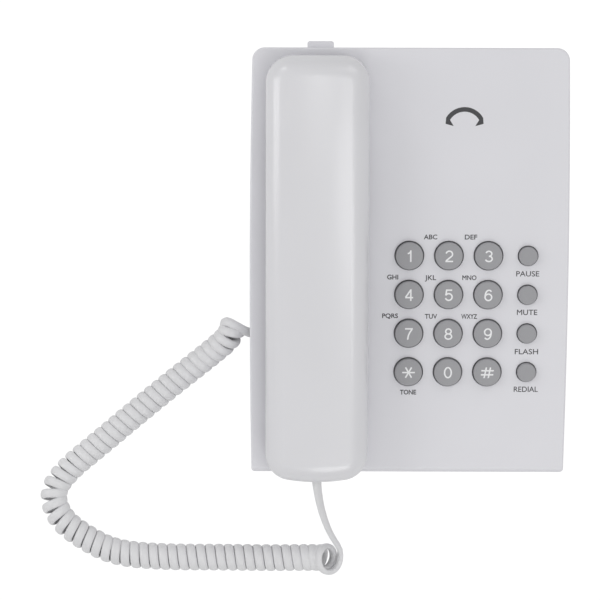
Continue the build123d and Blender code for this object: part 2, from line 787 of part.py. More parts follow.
def back_inside():
    """The space under the back's inner side, which is arched but flat across."""
    top = BACK_MID_W - WALL - 0.8
    end = top - 115**2 / (2 * ARCH_R)
    arch = ThreePointArc((-115, end), (0, top), (115, end))
    profile = make_face(Plane.YZ * (arch + Polyline((115, end), (115, -10), (-115, -10), (-115, end))))
    return extrude(profile, 40, both=True)


def handset_bar(inset):
    """The long bar of the handset, soft along its upper edges."""
    column = extrude(Pos(0, 0, GRIP_W + inset) * handset_plan(inset), 40)
    bar = column & (back_inside() if inset else back_outside())
    bar = fillet(bar.faces().sort_by(Axis.Z)[-1].edges(), BACK_EDGE - inset)
    return fillet(bar.faces().sort_by(Axis.Z)[0].edges(), max(3.0 - inset, 0.5))


def cup(size, centre_v, low, inset, thick_rear=0.0):
    """One cup under the bar, tapering down to its face."""
    plan = RectangleRounded(size[0] - 2 * inset, size[1] - 2 * inset - thick_rear, CUP_CORNER - inset)
    top = GRIP_W + 3.0
    depth = top - low - inset
    place = Pos(0, centre_v - thick_rear / 2, top)
    solid = extrude(place * plan, depth, dir=(0, 0, -1), taper=CUP_TAPER)
    return fillet(solid.faces().sort_by(Axis.Z)[0].edges(), CUP_EDGE - inset)


def handset_form(inset):
    """Bar and cups together, in the handset's own place."""
    rear_wall = 2.0 if inset else 0.0
    return (
        handset_bar(inset)
        + cup(EAR_SIZE, EAR_V, EAR_W, inset, rear_wall)
        + cup(MOUTH_SIZE, MOUTH_V, MOUTH_W, inset)
    )


def sound_holes(centre_v, rings, radius):
    """A round field of small holes through a cup's floor."""
    spots = [(0.0, 0.0)]
    for ring_r, count in rings:
        for i in range(count):
            angle = 2 * math.pi * i / count
            spots.append((ring_r * math.cos(angle), ring_r * math.sin(angle)))
    return [rod(x, centre_v + y, (-12, -3), radius) for x, y in spots]


def split_lip():
    """A thin lip on the face shell that locates the back shell."""
    low, high = SHELL_SPLIT_W - 1.6, SHELL_SPLIT_W + 1.4
    ring = extrude(Pos(0, 0, low) * (handset_plan(WALL + 0.15) - handset_plan(WALL + 1.1)), high - low)
    root = extrude(Pos(0, 0, low) * (handset_plan(WALL - 0.4) - handset_plan(WALL + 1.1)), 1.4)
    return ring + root - block(around(0, 8), (-110, -85), (0, 20))


def jack_window():
    """The window for the plug in the handset's front end."""
    return block(
        around(0, HANDSET_CAVITY[0] / 2), (-112, -100), around(HANDSET_JACK_W, HANDSET_CAVITY[1] / 2)
    )


def split_groove():
    """The fine groove along the line where the two shells meet."""
    ring = handset_plan(-0.5) - handset_plan(SEAM_EDGE)
    return extrude(Pos(0, 0, SHELL_SPLIT_W - SEAM_EDGE / 2) * ring, SEAM_EDGE)


def handset_back_shell():
    shell = (handset_form(0) - handset_form(WALL)) & block((-40, 40), (-120, 120), (SHELL_SPLIT_W, 40))
    for v in HANDSET_SCREWS:
        shell += rod(0, v, (8.9, BACK_MID_W - 2.0), 3.4)
        shell -= rod(0, v, (8, 19.0), 1.3)
    shell -= jack_window() + split_groove()
    return on_face(Pos(HANDSET_U, 0, 0) * shell)


def handset_face_shell():
    shell = (handset_form(0) - handset_form(WALL)) & block((-40, 40), (-120, 120), (-20, SHELL_SPLIT_W))
    shell += split_lip()
    for v in HANDSET_SCREWS:
        shell += rod(0, v, (GRIP_W + 1, 8.8), 4.2)
        shell -= rod(0, v, (0, GRIP_W + 2.6), 2.9) + rod(0, v, (0, 10), 1.5)
    shell -= sound_holes(EAR_V - 1, [(4.0, 6), (8.0, 12)], 0.9)
    shell -= sound_holes(MOUTH_V, [(3.2, 6)], 0.8)
    shell -= jack_window() + split_groove()
    notch_back = EAR_V + EAR_SIZE[1] / 2
    shell -= block(
        around(HANGER_U - HANDSET_U, HANGER_SIZE / 2 + 0.8),
        (notch_back - 4.0, notch_back + 3),
        around(HANGER_W, 2.2),
    )
    return on_face(Pos(HANDSET_U, 0, 0) * shell)


def in_handset(shape):
    return on_face(Pos(HANDSET_U, 0, 0) * shape)


def handset_screws():
    return [in_handset(Pos(0, v, GRIP_W + 2.6) * screw(2.6, 1.9, 1.25, 9.0)) for v in HANDSET_SCREWS]


def earpiece_gasket():
    return in_handset(tube(0, EAR_V - 1, (EAR_W + WALL, EAR_W + WALL + 1.0), 13.2, 10.5))


def earpiece_capsule():
    """The receiver: a stepped round capsule with a vented front."""
    low = EAR_W + WALL + 1.0
    body = rod(0, EAR_V - 1, (low, low + 5.0), 13.2) + rod(0, EAR_V - 1, (low + 5.0, low + 8.5), 9.5)
    body = fillet(body.edges().filter_by(GeomType.CIRCLE).sort_by(Axis.Z)[-1], 1.0)
    vents = [
        rod(5 * math.cos(a), EAR_V - 1 + 5 * math.sin(a), (low - 1, low + 0.8), 1.0)
        for a in [2 * math.pi * i / 6 for i in range(6)]
    ]
    return in_handset(body - vents)


def microphone_boot():
    low = MOUTH_W + WALL
    boot = rod(0, MOUTH_V, (low, low + 6.5), 6.8) - rod(0, MOUTH_V, (low - 1, low + 5.5), 4.9)
    return in_handset(boot)


def microphone_capsule():
    low = MOUTH_W + WALL
    capsule = rod(0, MOUTH_V, (low + 0.3, low + 5.4), 4.85)
    return in_handset(chamfer(capsule.edges().sort_by(Axis.Z)[0], 0.4))


def balance_weight():
    bar = soft_block((-9, 9), (-42, 31), (GRIP_W + WALL + 0.1, GRIP_W + WALL + 6.1), 1.5)
    return in_handset(bar)


def handset_jack():
    height = 2 * (HANDSET_JACK_W - GRIP_W - WALL)
    return in_handset(Pos(0, HANDSET_JACK_V, HANDSET_JACK_W) * jack(HANDSET_CAVITY, height))


def handset_plug():
    return in_handset(Pos(0, HANDSET_PLUG_V, HANDSET_JACK_W) * plug())


def handset_wires():
    """Leads from the jack along the grip to the earpiece, and to the microphone."""
    behind = HANDSET_JACK_V + JACK_DEPTH
    capsule_back = EAR_W + WALL + 9.5
    boot_back = MOUTH_W + WALL + 6.5
    long_way = [
        (3.0, behind, 12.5),
        (3.0, behind + 7.0, 12.5),
        (10.0, -72.0, 12.0),
        (13.0, -55.0, 10.0),
        (13.4, -24.0, 9.0),
        (13.0, 12.0, 9.4),
        (12.0, 38.0, 10.0),
        (6.0, 56.0, 9.8),
        (1.0, EAR_V - 2.0, 10.0),
        (1.0, EAR_V - 2.0, capsule_back),
    ]
    short_way = [
        (-2.5, behind, 12.0),
        (-2.5, behind + 4.5, 12.0),
        (0.0, MOUTH_V, 8.5),
        (0.0, MOUTH_V, boot_back),
    ]
    return [
        in_handset(cable(long_way, 1.5, "earpiece wires")),
        in_handset(cable(short_way, 1.5, "microphone wires")),
    ]


def base_wires():
    """Leads from the board to the line jack, the cord's port and the ringer."""
    x, y = RINGER_AT
    under = BOARD_LOW_W
    line_back = REAR_Y - WALL - 0.1 - JACK_DEPTH
    port_back = PORT_WALL + WALL + 1.3 + JACK_DEPTH
    line_way = [
        face_point(40.0, 60.0, under),
        face_point(40.0, 60.0, under - 11),
        (LINE_X, line_back - 12, LINE_Z),
        (LINE_X, line_back, LINE_Z),
    ]
    port_way = [
        face_point(-10.0, -20.0, under),
        face_point(-10.0, -20.0, under - 10),
        (-24.0, PORT_Y + 11.0, PORT_Z + 3.5),
        (port_back + 12.5, PORT_Y, PORT_Z),
        (port_back, PORT_Y, PORT_Z),
    ]
    ring_way = [
        face_point(30.0, 14.0, under),
        face_point(30.0, 14.0, under - 9),
        (x, y - 4.0, 22.0),
        (x, y - 4.0, FOOT_H + WALL + 7.0),
    ]
    return [
        cable(line_way, 1.5, "line wires"),
        cable(port_way, 1.5, "port wires"),
        cable(ring_way, 1.5, "ringer wires"),
    ]


# ---------------------------------------------------------------- cord
def lead_to_handset():
    """The straight tail from the curly length up to the handset's plug."""
    ahead = face_point(HANDSET_U, HANDSET_PLUG_V - 12.6, HANDSET_JACK_W)
    end = face_point(HANDSET_U, HANDSET_PLUG_V, HANDSET_JACK_W)
    return HANDSET_LEAD + [(ahead.X, ahead.Y, ahead.Z), (end.X, end.Y, end.Z)]


def lead_to_base():
    """The straight tail from the curly length to the plug in the base's left wall."""
    return [COIL_ROUTE[0], BASE_LEAD_BEND, (PORT_WALL + 1.2, PORT_Y, PORT_Z)]


# ---------------------------------------------------------------- all the nodes
def nodes():
    made = {
        "base_top_cover": base_top_cover(),
        "base_bottom_cover": base_bottom_cover(),
        "rubber_feet": rubber_feet(),
        "base_screws": base_screws(),
        "keypad_membrane": keypad_membrane(),
        "carbon_pills": carbon_pills(),
        "main_board": main_board(),
        "board_screws": board_screws(),
        "dialler_chip": dialler_chip(),
        "line_transformer": line_transformer(),
        "capacitors": capacitors(),
        "rectifier": rectifier(),
        "resistors": resistors(),
        "hook_lever": hook_lever(),
        "hook_spring": hook_spring(),
        "hook_switch": hook_switch(),
        "line_jack": line_jack(),
        "line_jack_contacts": line_contacts(),
        "cord_port_jack": port_jack(),
        "ringer_chamber": ringer_chamber(),
        "ringer_disc": ringer_disc(),
        "wall_hanger": wall_hanger(),
        "base_wires": base_wires(),
        "handset_back_shell": handset_back_shell(),
        "handset_face_shell": handset_face_shell(),
        "handset_screws": handset_screws(),
        "earpiece_gasket": earpiece_gasket(),
        "earpiece_capsule": earpiece_capsule(),
        "microphone_boot": microphone_boot(),
        "microphone_capsule": microphone_capsule(),
        "balance_weight": balance_weight(),
        "handset_jack": handset_jack(),
        "handset_wires": handset_wires(),
        "cord_plug_handset": handset_plug(),
        "cord_lead_handset": cable(lead_to_handset(), LEAD_D, "handset lead"),
        "curly_cord": cable(COIL_ROUTE, COIL_D, "curly cord"),
        "cord_lead_base": cable(lead_to_base(), LEAD_D, "base lead"),
        "cord_plug_base": base_plug(),
    }
    for name, (x, y) in SWITCHES.items():
        made[f"{name}_switch"] = switch_body(x, y)
        made[f"{name}_knob"] = switch_knob(x, y)
    made.update(keys())
    return made


def main():
    os.makedirs("parts", exist_ok=True)
    for name, shape in nodes().items():
        solids = shape if isinstance(shape, list) else [shape]
        found = [solid for piece in solids for solid in piece.solids()]
        export_step(Compound(children=found) if len(found) > 1 else found[0], f"parts/{name}.step")


main()
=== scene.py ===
"""Looks of a corded landline phone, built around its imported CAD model. Metres, row frame."""
import json
import math

import bmesh
import bpy
import numpy as np
from mathutils import Matrix, Vector


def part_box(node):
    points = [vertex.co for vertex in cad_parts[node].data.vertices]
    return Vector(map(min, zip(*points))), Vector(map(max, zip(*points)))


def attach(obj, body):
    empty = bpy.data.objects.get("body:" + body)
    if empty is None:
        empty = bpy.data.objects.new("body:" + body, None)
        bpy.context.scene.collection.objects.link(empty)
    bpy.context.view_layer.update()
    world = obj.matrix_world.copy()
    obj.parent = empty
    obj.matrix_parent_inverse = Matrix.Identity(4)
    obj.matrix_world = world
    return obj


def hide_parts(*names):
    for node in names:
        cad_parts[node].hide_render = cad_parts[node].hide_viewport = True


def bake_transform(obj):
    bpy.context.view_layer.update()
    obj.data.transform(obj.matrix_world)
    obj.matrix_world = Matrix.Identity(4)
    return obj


MM = 0.001

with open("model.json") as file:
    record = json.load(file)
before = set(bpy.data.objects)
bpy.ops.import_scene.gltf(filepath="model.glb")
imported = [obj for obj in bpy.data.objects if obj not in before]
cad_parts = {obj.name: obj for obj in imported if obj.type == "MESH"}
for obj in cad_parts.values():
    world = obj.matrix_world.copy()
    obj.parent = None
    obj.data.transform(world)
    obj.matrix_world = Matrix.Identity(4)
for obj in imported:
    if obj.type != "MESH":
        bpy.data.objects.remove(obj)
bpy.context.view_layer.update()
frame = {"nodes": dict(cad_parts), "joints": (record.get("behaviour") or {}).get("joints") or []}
NODES = frame["nodes"]


# ---------------------------------------------------------------- the frame of the sloping face
def joint_named(name):
    return next(joint for joint in frame["joints"] if joint["name"] == name)


KEY_TRAVEL = Vector(joint_named("key_5_press")["axis"])
FACE_OUT = -KEY_TRAVEL.normalized()
FACE_RIGHT = Vector((1, 0, 0))
FACE_UP = FACE_OUT.cross(FACE_RIGHT)
FACE_POINT = Vector((0, 1.25, 44.0)) * MM
KEY_TOP = 2.8  # of a key's middle above the face, in millimetres
KEY_CROWN = 0.3  # that the key's edge lies lower
KEY_CROWN_R = 6.1


def node_centre(node):
    low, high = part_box(node)
    return (low + high) / 2


def face_matrix(node, right=0.0, up=0.0):
    """Axes on the face's plane through a node's centre, moved by millimetres along the face."""
    centre = node_centre(node)
    origin = centre + FACE_OUT * (FACE_POINT - centre).dot(FACE_OUT)
    origin += (FACE_RIGHT * right + FACE_UP * up) * MM
    axes = Matrix((FACE_RIGHT, FACE_UP, FACE_OUT)).transposed().to_4x4()
    return Matrix.Translation(origin) @ axes


# ---------------------------------------------------------------- small helpers
def add_object(name, data):
    made = bpy.data.objects.new(name, data)
    bpy.context.scene.collection.objects.link(made)
    return made


def spline_points(points, resolution):
    """The points of a smooth open spline with these control points, in order."""
    curve = bpy.data.curves.new("route", "CURVE")
    curve.dimensions = "3D"
    curve.resolution_u = resolution
    spline = curve.splines.new("NURBS")
    spline.points.add(len(points) - 1)
    for place, point in zip(spline.points, points):
        place.co = (*point, 1.0)
    spline.order_u = 3
    spline.use_endpoint_u = True
    holder = bpy.data.objects.new("route", curve)
    mesh = bpy.data.meshes.new_from_object(holder)
    line = np.array([vertex.co for vertex in mesh.vertices], float)
    bpy.data.meshes.remove(mesh)
    bpy.data.objects.remove(holder)
    bpy.data.curves.remove(curve)
    return line


def unit(vectors):
    return vectors / np.linalg.norm(vectors, axis=-1, keepdims=True)


def tangents(line):
    return unit(np.gradient(line, axis=0))


def distance_along(line):
    steps = np.linalg.norm(np.diff(line, axis=0), axis=1)
    return np.concatenate([[0.0], np.cumsum(steps)])


# ---------------------------------------------------------------- curly cord
# The route of the coil's middle, in millimetres. It follows the CAD model's, with the first turns fanned out.
COIL_ROUTE = [
    (-85.2, -30.3, 12.8),
    (-85.7, -32.9, 12.8),
    (-87.2, -35.7, 12.3),
    (-89.6, -38.5, 11.2),
    (-95.4, -43.3, 8.8),
    (-102.3, -48.9, 7.1),
    (-116.8, -60.3, 6.7),
    (-134.8, -75.1, 6.6),
    (-151.8, -89.5, 6.6),
    (-167.5, -102.3, 6.6),
    (-175.2, -113.5, 6.6),
    (-170.8, -126.5, 6.6),
    (-158.5, -135.7, 6.6),
    (-143.0, -143.4, 6.6),
    (-118.0, -145.2, 6.6),
    (-92.0, -145.1, 6.6),
    (-68.0, -145.4, 6.6),
    (-51.0, -145.2, 6.6),
    (-41.0, -145.1, 6.9),
    (-37.3, -145.1, 13.2),
]
BASE_TAIL = [
    (-75.2, -34.35, 14.6),
    (-77.6, -34.0, 14.8),
    (-81.0, -32.3, 16.6),
    (-85.4, -29.8, 18.2),
    (-88.6, -28.2, 16.6),
]
HANDSET_TAIL = [
    (-32.0, -140.8, 11.9),
    (-34.7, -136.6, 15.6),
    (-38.0, -130.8, 20.6),
    (-41.7, -120.5, 28.6),
    (-43.6, -110.5, 35.0),
]
COIL_RADIUS = 5.3  # of the turns' middle line
RING_RADIUS = 6.35  # of the loose last turn
RING_LENGTHENING = 0.6
CORD_WIDTH = 4.5
CORD_THICKNESS = 2.7
CORD_SQUARENESS = 2.2  # exponent of the flat section's outline
SECTION_POINTS = 20
TURN_POINTS = 28
FIRST_TURN_ANGLE = math.radians(176)
LAST_TURN_ANGLE = math.radians(276)
# Room that a turn takes along the coil, at shares of the coil's length
TURN_PITCH = [
    (0.0, 4.3),
    (0.04, 4.6),
    (0.36, 4.6),
    (0.46, 5.4),
    (0.58, 4.85),
    (0.75, 4.75),
    (0.92, 4.7),
    (1.0, 3.9),
]


def coil_frames(line):
    """Two directions across the coil at each of its points, carried along without twist."""
    along = tangents(line)
    side = np.cross((0, 0, 1), along[0])
    sides = []
    for direction in along:
        side = unit(side - direction * side.dot(direction))
        sides.append(side)
    sides = np.array(sides)
    return along, sides, np.cross(along, sides)


def helix_points():
    """Middle-line points of the coil's turns and the outward direction at each, in millimetres."""
    line = spline_points(COIL_ROUTE, 24)
    reach = distance_along(line)
    share = reach / reach[-1]
    along, sides, ups = coil_frames(line)
    pitch = np.interp(share, *zip(*TURN_PITCH))
    turns = np.concatenate([[0.0], np.cumsum(np.diff(reach) / ((pitch[1:] + pitch[:-1]) / 2))])
    first = FIRST_TURN_ANGLE / (2 * math.pi)
    last = LAST_TURN_ANGLE / (2 * math.pi)
    whole = round(turns[-1] + first - last) + last - first
    turns *= whole / turns[-1]
    steps = round(whole * TURN_POINTS)
    count = np.linspace(0, whole, steps + 1)
    at = np.interp(count, turns, reach)
    angle = FIRST_TURN_ANGLE + count * 2 * math.pi
    spot, side, up = (
        np.stack([np.interp(at, reach, values[:, axis]) for axis in range(3)], 1)
        for values in (line, sides, ups)
    )
    outward = unit(side) * np.cos(angle)[:, None] + unit(up) * np.sin(angle)[:, None]
    loose = np.clip(1 - (whole - count) / 1.4, 0, 1)
    loose = loose * loose * (3 - 2 * loose)
    radius = COIL_RADIUS + loose * (RING_RADIUS - COIL_RADIUS + RING_LENGTHENING * np.cos(2 * angle))
    return spot + radius[:, None] * outward, outward, whole


def flat_section():
    """The flat cord's outline: (across the thin way, along the wide way)."""
    points = []
    for i in range(SECTION_POINTS):
        angle = 2 * math.pi * i / SECTION_POINTS
        thin = math.copysign(abs(math.cos(angle)) ** (2 / CORD_SQUARENESS), math.cos(angle))
        wide = math.copysign(abs(math.sin(angle)) ** (2 / CORD_SQUARENESS), math.sin(angle))
        points.append((thin * CORD_THICKNESS / 2, wide * CORD_WIDTH / 2))
    return np.array(points)


def sweep(name, line, outward, section):
    """A closed tube with this section along a line; outward is the section's thin direction."""
    along = tangents(line)
    thin = unit(outward - along * np.sum(outward * along, axis=1, keepdims=True))
    wide = np.cross(along, thin)
    rings = line[:, None] + section[None, :, :1] * thin[:, None] + section[None, :, 1:] * wide[:, None]
    count = len(section)
    faces = []
    for ring in range(len(line) - 1):
        low = ring * count
        for i in range(count):
            nxt = (i + 1) % count
            faces.append((low + i, low + nxt, low + count + nxt, low + count + i))
    faces.append(tuple(reversed(range(count))))
    top = (len(line) - 1) * count
    faces.append(tuple(top + i for i in range(count)))
    mesh = bpy.data.meshes.new(name)
    mesh.from_pydata((rings.reshape(-1, 3) * MM).tolist(), [], faces)
    mesh.shade_smooth()
    return add_object(name, mesh)


def make_cord():
    coil, outward, turns = helix_points()
    plug = node_centre("cord_plug_handset") / MM
    plug_back = plug - FACE_UP * 5.0
    points = [*BASE_TAIL, *coil.tolist(), *HANDSET_TAIL, tuple(plug_back), tuple(plug)]
    thin_ways = [(0, 0, 1), (0, 0, 1), (-0.1, 0.1, 1), (-0.35, 0.25, 0.9), (-0.75, 0.5, 0.45)]
    thin_ways += outward.tolist()
    thin_ways += [(0.97, 0.1, -0.1), (0.92, 0.3, 0.1), (0.85, 0.3, 0.35), (0.75, 0.1, 0.6), (0.55, 0, 0.8)]
    thin_ways += [tuple(FACE_OUT), tuple(FACE_OUT)]
    points = np.array(points)
    thin_ways = unit(np.array(thin_ways))
    line = spline_points(points, 2)
    edge = spline_points(points + thin_ways, 2)
    cord = sweep("curly_handset_cord", line, edge - line, flat_section())
    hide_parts("curly_cord", "cord_lead_handset", "cord_lead_base")
    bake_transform(cord)
    return cord


# ---------------------------------------------------------------- camera, lights, floor
CAMERA_LENS = 156.7  # millimetres
CAMERA_SENSOR = 36.0  # millimetres
CAMERA_PLACE = (-0.0524, -0.0179, 1.298)
CAMERA_ROLL = 0.003  # radians


def make_camera():
    data = bpy.data.cameras.new("camera")
    data.lens = CAMERA_LENS
    data.sensor_width = CAMERA_SENSOR
    camera = add_object("camera", data)
    camera.location = CAMERA_PLACE
    camera.rotation_euler = (0, 0, CAMERA_ROLL)
    bpy.context.scene.camera = camera


# name: place, size, power in watts
LIGHTS = {
    "above": ((0.0, 0.0, 1.7), (0.4, 0.4), 1.12),
    "rear_right": ((0.8, 1.1, 0.9), (0.8, 0.8), 2.4),
    "rear_left": ((-0.8, 1.0, 0.8), (0.4, 0.4), 1.2),
    "right_softbox": ((0.55, -0.35, 1.45), (0.35, 0.6), 2.1),
    "near_front": ((0.12, -0.65, 0.6), (0.4, 0.3), 0.95),
    "low_left": ((-0.7, 0.05, 0.45), (0.3, 0.5), 1.05),
}
WORLD_STRENGTH = 0.54
FLOOR_REFLECTED = 0.85
FLOOR_HALF = 3.0
FLOOR_LEVEL = -0.0002  # just under the feet


def make_lights():
    middle = Vector((-0.02, 0.0, 0.04))
    for name, (place, size, power) in LIGHTS.items():
        data = bpy.data.lights.new(name, "AREA")
        data.shape = "RECTANGLE"
        data.size, data.size_y = size
        data.energy = power
        light = add_object(name, data)
        light.location = place
        light.rotation_euler = (middle - Vector(place)).to_track_quat("-Z", "Y").to_euler()
    world = bpy.data.worlds.new("studio")
    world.use_nodes = True
    background = world.node_tree.nodes["Background"]
    background.inputs["Color"].default_value = (1, 1, 1, 1)
    background.inputs["Strength"].default_value = WORLD_STRENGTH
    bpy.context.scene.world = world
    bpy.context.scene.view_settings.view_transform = "Standard"


def make_floor():
    """A plain white floor: pure white to the camera, softer to what stands on it."""
    mesh = bpy.data.meshes.new("floor")
    signs = [(-1, -1), (1, -1), (1, 1), (-1, 1)]
    corners = [(x * FLOOR_HALF, y * FLOOR_HALF, FLOOR_LEVEL) for x, y in signs]
    mesh.from_pydata(corners, [], [(0, 1, 2, 3)])
    floor = add_object("floor", mesh)
    material = bpy.data.materials.new("floor_white")
    material.use_nodes = True
    tree = material.node_tree
    shader = tree.nodes["Principled BSDF"]
    shader.inputs["Base Color"].default_value = (FLOOR_REFLECTED, FLOOR_REFLECTED, FLOOR_REFLECTED, 1)
    shader.inputs["Roughness"].default_value = 0.9
    shader.inputs["Specular IOR Level"].default_value = 0.1
    white = tree.nodes.new("ShaderNodeEmission")
    white.inputs["Strength"].default_value = 1.05
    seen = tree.nodes.new("ShaderNodeLightPath")
    either = tree.nodes.new("ShaderNodeMixShader")
    tree.links.new(seen.outputs["Is Camera Ray"], either.inputs["Fac"])
    tree.links.new(shader.outputs["BSDF"], either.inputs[1])
    tree.links.new(white.outputs["Emission"], either.inputs[2])
    tree.links.new(either.outputs["Shader"], tree.nodes["Material Output"].inputs["Surface"])
    mesh.materials.append(material)


# ---------------------------------------------------------------- materials
class Shader:
    """A material's node tree, with short ways to add what its surface needs."""

    def __init__(self, name, colour, roughness, metallic=0.0):
        self.material = bpy.data.materials.new(name)
        self.material.use_nodes = True
        self.tree = self.material.node_tree
        self.surface = self.tree.nodes["Principled BSDF"]
        self.surface.inputs["Base Color"].default_value = (*colour, 1)
        self.surface.inputs["Roughness"].default_value = roughness
        self.surface.inputs["Metallic"].default_value = metallic
        self.colour = colour
        self.roughness = roughness
        self.place = self.tree.nodes.new("ShaderNodeTexCoord").outputs["Object"]

    def link(self, source, target):
        self.tree.links.new(source, target)

    def stretched(self, scale):
        """The place, stretched by a scale along each axis."""
        node = self.tree.nodes.new("ShaderNodeMapping")
        node.inputs["Scale"].default_value = scale
        self.link(self.place, node.inputs["Vector"])
        return node.outputs["Vector"]

    def noise(self, size, detail=3.0, place=None):
        """Noise whose grains are about this many millimetres."""
        node = self.tree.nodes.new("ShaderNodeTexNoise")
        node.inputs["Scale"].default_value = 1000.0 / size
        node.inputs["Detail"].default_value = detail
        self.link(place or self.place, node.inputs["Vector"])
        return node.outputs["Fac"]

    def ramp(self, value, stops):
        """A value or colour read from (place, colour) stops."""
        node = self.tree.nodes.new("ShaderNodeValToRGB")
        elements = node.color_ramp.elements
        while len(elements) < len(stops):
            elements.new(0.5)
        for element, (place, colour) in zip(elements, stops):
            element.position = place
            element.color = (*colour, 1) if hasattr(colour, "__len__") else (colour, colour, colour, 1)
        self.link(value, node.inputs["Fac"])
        return node.outputs["Color"]

    def vary_colour(self, value, amount):
        """The colour, darker and lighter by a share as the value changes."""
        dark = [part * (1 - amount) for part in self.colour]
        light = [min(part * (1 + amount), 1.0) for part in self.colour]
        self.link(self.ramp(value, [(0.3, dark), (0.7, light)]), self.surface.inputs["Base Color"])

    def vary_roughness(self, value, amount):
        low = max(self.roughness - amount, 0.02)
        high = min(self.roughness + amount, 1.0)
        self.link(self.ramp(value, [(0.3, low), (0.7, high)]), self.surface.inputs["Roughness"])

    def bump(self, value, height, strength=1.0):
        """Relief of this height in millimetres, added to what is there."""
        node = self.tree.nodes.new("ShaderNodeBump")
        node.inputs["Strength"].default_value = strength
        node.inputs["Distance"].default_value = height * MM
        self.link(value, node.inputs["Height"])
        before = self.surface.inputs["Normal"].links
        if before:
            self.link(before[0].from_socket, node.inputs["Normal"])
        self.link(node.outputs["Normal"], self.surface.inputs["Normal"])


def moulded(name, colour, roughness, grain=0.35, grain_height=0.004, tint=0.01):
    """Moulded plastic or rubber: a fine spark-eroded grain and a faint handling sheen."""
    shader = Shader(name, colour, roughness)
    shader.surface.inputs["IOR"].default_value = 1.53
    shader.vary_colour(shader.noise(40.0, 1.0), tint)
    shader.vary_roughness(shader.noise(1.1, 3.0), 0.02)
    shader.bump(shader.noise(grain, 2.0), grain_height)
    return shader


def metal(name, colour, roughness, brush=(1, 1, 14)):
    """Worked metal: fine lines left by rolling or turning, and a few duller spots."""
    shader = Shader(name, colour, roughness, metallic=1.0)
    lines = shader.noise(0.5, 3.0, shader.stretched(brush))
    shader.vary_colour(lines, 0.05)
    shader.vary_roughness(shader.noise(0.8, 4.0), 0.08)
    shader.bump(lines, 0.003)
    return shader


def translucent(name, colour, roughness, share):
    """Clear moulded resin, slightly milky."""
    shader = moulded(name, colour, roughness, grain=0.6, grain_height=0.002)
    shader.surface.inputs["Transmission Weight"].default_value = share
    return shader


def circuit_board():
    """Green solder mask with the paler weave of the laminate showing through."""
    shader = Shader("circuit_board", (0.03, 0.16, 0.06), 0.35)
    weave = shader.tree.nodes.new("ShaderNodeTexChecker")
    weave.inputs["Scale"].default_value = 900.0
    weave.inputs["Color1"].default_value = (0.025, 0.14, 0.05, 1)
    weave.inputs["Color2"].default_value = (0.035, 0.18, 0.07, 1)
    shader.link(shader.place, weave.inputs["Vector"])
    shader.link(weave.outputs["Color"], shader.surface.inputs["Base Color"])
    shader.vary_roughness(shader.noise(2.0, 3.0), 0.06)
    shader.bump(shader.noise(0.6, 2.0), 0.006)
    return shader


def resistor_body():
    """Buff lacquer with darker rings across the body."""
    shader = Shader("resistor_lacquer", (0.62, 0.46, 0.28), 0.4)
    rings = shader.tree.nodes.new("ShaderNodeTexWave")
    rings.inputs["Scale"].default_value = 180.0
    shader.link(shader.place, rings.inputs["Vector"])
    stops = [(0.0, (0.62, 0.46, 0.28)), (0.72, (0.6, 0.44, 0.27)), (0.8, (0.25, 0.08, 0.04))]
    shader.link(shader.ramp(rings.outputs["Fac"], stops), shader.surface.inputs["Base Color"])
    shader.vary_roughness(shader.noise(0.7, 2.0), 0.05)
    return shader


def make_slots():
    """A material for every slot of the record."""
    handset = moulded("handset_abs", (0.735, 0.733, 0.757), 0.3, grain_height=0.002)
    handset.surface.inputs["Coat Weight"].default_value = 0.7
    handset.surface.inputs["Coat Roughness"].default_value = 0.2
    return {
        "housing": moulded("housing_abs", (0.757, 0.754, 0.788), 0.42),
        "handset": handset,
        "key": moulded("key_silicone", (0.34, 0.34, 0.355), 0.5, grain=0.25),
        "cord": moulded("cord_vinyl", (0.75, 0.75, 0.762), 0.4, grain=0.6),
        "rubber": moulded("foot_rubber", (0.035, 0.035, 0.037), 0.8, grain=0.5, grain_height=0.02),
        "silicone": moulded("membrane_silicone", (0.42, 0.42, 0.43), 0.6, grain=0.4, grain_height=0.008),
        "carbon": moulded("carbon_pill", (0.02, 0.02, 0.02), 0.65, grain=0.2, grain_height=0.01),
        "steel": metal("steel_zinc_plated", (0.62, 0.62, 0.63), 0.32),
        "board": circuit_board(),
        "black_resin": moulded("black_resin", (0.02, 0.02, 0.021), 0.5, grain=0.3, grain_height=0.012),
        "ferrite": moulded("ferrite", (0.05, 0.05, 0.055), 0.55, grain=0.3, grain_height=0.015),
        "sleeve": moulded("capacitor_sleeve", (0.015, 0.03, 0.09), 0.3, grain=1.2),
        "resistor": resistor_body(),
        "clear_resin": translucent("clear_resin", (0.86, 0.88, 0.88), 0.12, 0.75),
        "gold": metal("contact_gold", (0.9, 0.62, 0.22), 0.22),
        "brass": metal("brass", (0.78, 0.55, 0.24), 0.28),
        "aluminium": metal("aluminium", (0.75, 0.76, 0.78), 0.3),
        "zinc": metal("zinc", (0.5, 0.51, 0.53), 0.42),
        "wire": moulded("wire_insulation", (0.05, 0.16, 0.4), 0.35, grain=0.8),
    }


def apply_materials(slots):
    for node in NODES.values():
        for i, entry in enumerate(list(node.data.materials)):
            node.data.materials[i] = slots[entry.name.split(".")[0]].material


def ink(name, colour):
    """Screen-printed ink, slightly uneven."""
    shader = Shader(name, colour, 0.5)
    shader.vary_colour(shader.noise(0.4, 2.0), 0.03)
    shader.bump(shader.noise(0.15, 2.0), 0.002)
    return shader.material


# ---------------------------------------------------------------- printed marks
STROKE = 0.74
STROKE_STEP = 0.45
LAYER = 0.006  # that each further stroke of a mark lies higher


def arc(x, y, wide, tall, start, end):
    """Points of an ellipse's arc, its angles in degrees."""
    steps = max(int(abs(end - start) / 12), 2)
    angles = [math.radians(start + (end - start) * i / steps) for i in range(steps + 1)]
    return [(x + wide * math.cos(angle), y + tall * math.sin(angle)) for angle in angles]


